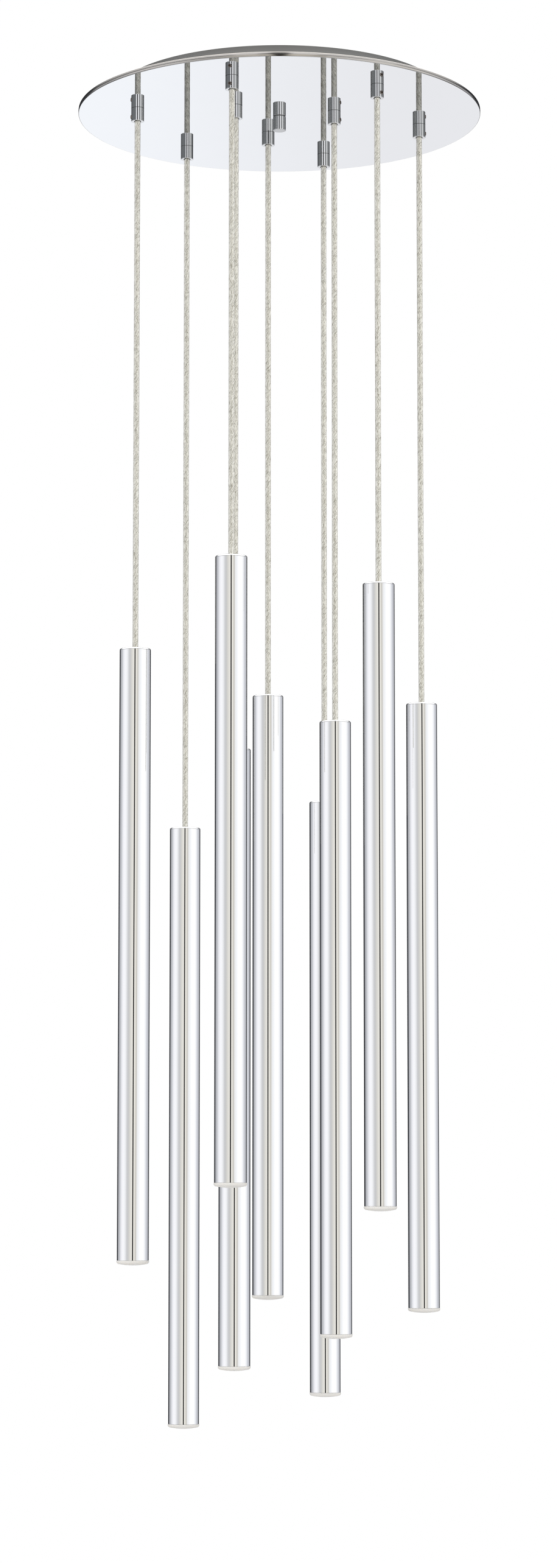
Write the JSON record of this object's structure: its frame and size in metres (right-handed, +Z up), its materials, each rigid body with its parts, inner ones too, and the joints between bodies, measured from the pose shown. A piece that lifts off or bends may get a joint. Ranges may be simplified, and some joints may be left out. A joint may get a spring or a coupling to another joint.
{
  "type": "cluster pendant chandelier",
  "caption": "Ceiling chandelier: slim chrome light tubes with frosted lower ends hang at different heights on straight cords from a round mirror canopy.",
  "frame": {"origin": "centre of the ceiling bracket's upper face, where the canopy meets the ceiling", "axes": "+Z up into the ceiling, +X to the right and -Y towards the viewer of the pictured side"},
  "size_m": [0.4064, 0.4064, 1.3406],
  "materials": {
    "mirror_chrome": "mirror polish",
    "polished_chrome": "polished",
    "satin_chrome": "satin",
    "frosted_lens": "frosted, warm white",
    "cord_jacket": "clear jacket over twisted silver strands",
    "bare_aluminium": "bare",
    "zinc_steel": "zinc plated",
    "dark_steel": "blackened",
    "white_plastic": "matt",
    "green_enamel": "painted"
  },
  "bodies": {
    "canopy": {"canopy_plate": "mirror_chrome", "canopy_pan": "satin_chrome", "mounting_bracket": "zinc_steel", "centre_rod": "zinc_steel", "rod_nut": "zinc_steel", "cord_grips": "polished_chrome", "grip_screws": "dark_steel", "grip_nuts": "zinc_steel", "grip_washers": "zinc_steel", "cord_tails": "cord_jacket", "led_driver": "white_plastic", "terminal_block": "white_plastic", "ground_screw": "green_enamel", "pan_screws": "zinc_steel"},
    "finial_nut": {"finial": "polished_chrome"},
    "hang_1": {"cord_1": "cord_jacket"},
    "light_1": {"cap_1": "polished_chrome", "tube_1": "polished_chrome", "led_module_1": "bare_aluminium", "lens_1": "frosted_lens"},
    "hang_2": {"cord_2": "cord_jacket"},
    "light_2": {"cap_2": "polished_chrome", "tube_2": "polished_chrome", "led_module_2": "bare_aluminium", "lens_2": "frosted_lens"},
    "hang_3": {"cord_3": "cord_jacket"},
    "light_3": {"cap_3": "polished_chrome", "tube_3": "polished_chrome", "led_module_3": "bare_aluminium", "lens_3": "frosted_lens"},
    "hang_4": {"cord_4": "cord_jacket"},
    "light_4": {"cap_4": "polished_chrome", "tube_4": "polished_chrome", "led_module_4": "bare_aluminium", "lens_4": "frosted_lens"},
    "hang_5": {"cord_5": "cord_jacket"},
    "light_5": {"cap_5": "polished_chrome", "tube_5": "polished_chrome", "led_module_5": "bare_aluminium", "lens_5": "frosted_lens"},
    "hang_6": {"cord_6": "cord_jacket"},
    "light_6": {"cap_6": "polished_chrome", "tube_6": "polished_chrome", "led_module_6": "bare_aluminium", "lens_6": "frosted_lens"},
    "hang_7": {"cord_7": "cord_jacket"},
    "light_7": {"cap_7": "polished_chrome", "tube_7": "polished_chrome", "led_module_7": "bare_aluminium", "lens_7": "frosted_lens"},
    "hang_8": {"cord_8": "cord_jacket"},
    "light_8": {"cap_8": "polished_chrome", "tube_8": "polished_chrome", "led_module_8": "bare_aluminium", "lens_8": "frosted_lens"},
    "hang_9": {"cord_9": "cord_jacket"},
    "light_9": {"cap_9": "polished_chrome", "tube_9": "polished_chrome", "led_module_9": "bare_aluminium", "lens_9": "frosted_lens"}
  },
  "joints": [
    {"name": "finial_turn", "type": "hinge", "parent": "canopy", "child": "finial_nut", "pos_m": [0, 0, -0.023], "axis": [0, 0, 1], "continuous": true},
    {"name": "swing_1", "type": "hinge", "parent": "canopy", "child": "hang_1", "pos_m": [0.14243, 0.02872, -0.0365], "axis": [0.1977, -0.9803, 0], "range_deg": [-3, 20]},
    {"name": "height_1", "type": "slide", "parent": "hang_1", "child": "light_1", "axis": [0, 0, 1], "range_m": [0, 0.4325], "deforming": ["cord_1"]},
    {"name": "swing_2", "type": "hinge", "parent": "canopy", "child": "hang_2", "pos_m": [0.04634, 0.13771, -0.0365], "axis": [0.9478, -0.319, 0], "range_deg": [-3, 20]},
    {"name": "height_2", "type": "slide", "parent": "hang_2", "child": "light_2", "axis": [0, 0, 1], "range_m": [0, 0.5195], "deforming": ["cord_2"]},
    {"name": "swing_3", "type": "hinge", "parent": "canopy", "child": "hang_3", "pos_m": [-0.09609, 0.10899, -0.0365], "axis": [0.7501, 0.6613, 0], "range_deg": [-3, 20]},
    {"name": "height_3", "type": "slide", "parent": "hang_3", "child": "light_3", "axis": [0, 0, 1], "range_m": [0, 0.5495], "deforming": ["cord_3"]},
    {"name": "swing_4", "type": "hinge", "parent": "canopy", "child": "hang_4", "pos_m": [-0.14243, -0.02872, -0.0365], "axis": [-0.1977, 0.9803, 0], "range_deg": [-3, 20]},
    {"name": "height_4", "type": "slide", "parent": "hang_4", "child": "light_4", "axis": [0, 0, 1], "range_m": [0, 0.3855], "deforming": ["cord_4"]},
    {"name": "swing_5", "type": "hinge", "parent": "canopy", "child": "hang_5", "pos_m": [-0.04634, -0.13771, -0.0365], "axis": [-0.9478, 0.319, 0], "range_deg": [-3, 20]},
    {"name": "height_5", "type": "slide", "parent": "hang_5", "child": "light_5", "axis": [0, 0, 1], "range_m": [0, 0.3115], "deforming": ["cord_5"]},
    {"name": "swing_6", "type": "hinge", "parent": "canopy", "child": "hang_6", "pos_m": [0.09609, -0.10899, -0.0365], "axis": [-0.7501, -0.6613, 0], "range_deg": [-3, 20]},
    {"name": "height_6", "type": "slide", "parent": "hang_6", "child": "light_6", "axis": [0, 0, 1], "range_m": [0, 0.3335], "deforming": ["cord_6"]},
    {"name": "swing_7", "type": "hinge", "parent": "canopy", "child": "hang_7", "pos_m": [-0.0115, 0.05705, -0.0365], "axis": [0.9803, 0.1977, 0], "range_deg": [-1.5, 20]},
    {"name": "height_7", "type": "slide", "parent": "hang_7", "child": "light_7", "axis": [0, 0, 1], "range_m": [0, 0.4205], "deforming": ["cord_7"]},
    {"name": "swing_8", "type": "hinge", "parent": "canopy", "child": "hang_8", "pos_m": [-0.04366, -0.03849, -0.0365], "axis": [-0.6613, 0.7501, 0], "range_deg": [-1.5, 20]},
    {"name": "height_8", "type": "slide", "parent": "hang_8", "child": "light_8", "axis": [0, 0, 1], "range_m": [0, 0.4865], "deforming": ["cord_8"]},
    {"name": "swing_9", "type": "hinge", "parent": "canopy", "child": "hang_9", "pos_m": [0.05516, -0.01856, -0.0365], "axis": [-0.319, -0.9478, 0], "range_deg": [-1.5, 20]},
    {"name": "height_9", "type": "slide", "parent": "hang_9", "child": "light_9", "axis": [0, 0, 1], "range_m": [0, 0.4565], "deforming": ["cord_9"]}
  ]
}
